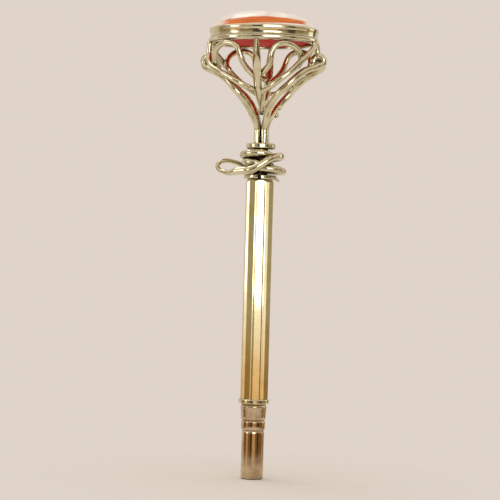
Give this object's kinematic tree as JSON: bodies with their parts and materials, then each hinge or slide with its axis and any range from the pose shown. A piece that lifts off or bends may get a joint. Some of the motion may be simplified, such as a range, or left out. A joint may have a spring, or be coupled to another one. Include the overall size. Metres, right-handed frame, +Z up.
{
  "type": "watch key",
  "caption": "Gold fob watch key: square-socketed pipe, faceted barrel, knotted wire hanger that swivels, open wire basket and oval banded stone.",
  "frame": {"origin": "centre of the pipe's mouth, the lowest point of the key when it stands upright", "axes": "+Z up the key's axis towards the stone, +X along the long axis of the oval setting, -Y to the front"},
  "size_m": [0.017, 0.0128, 0.0614],
  "materials": {
    "yellow_gold": "polished, darker in the recesses",
    "rose_gold": "polished, lightly worn",
    "socket_steel": "dark, file finished",
    "banded_agate": "polished"
  },
  "bodies": {
    "key": {"key_pipe": "rose_gold", "pipe_ferrule": "rose_gold", "barrel_end_ring": "rose_gold", "barrel_tube": "yellow_gold", "barrel_top_plug": "yellow_gold", "neck_spindle": "yellow_gold", "split_washer": "yellow_gold", "upper_collar": "yellow_gold", "crotch_bead": "yellow_gold", "gallery_ring": "yellow_gold", "bezel_collet": "yellow_gold", "front_rib": "yellow_gold", "back_rib": "yellow_gold", "front_right_scroll": "yellow_gold", "front_right_lobe": "yellow_gold", "front_right_strand": "yellow_gold", "front_left_scroll": "yellow_gold", "front_left_lobe": "yellow_gold", "front_left_strand": "yellow_gold", "back_right_scroll": "yellow_gold", "back_right_lobe": "yellow_gold", "back_right_strand": "yellow_gold", "back_left_scroll": "yellow_gold", "back_left_lobe": "yellow_gold", "back_left_strand": "yellow_gold", "steel_socket": "socket_steel", "seal_stone": "banded_agate"},
    "hanger": {"swivel_knot": "yellow_gold"}
  },
  "joints": [
    {"name": "hanger_swivel", "type": "hinge", "parent": "key", "child": "hanger", "pos_m": [0, 0, 0.0416], "axis": [0, 0, 1], "continuous": true}
  ]
}
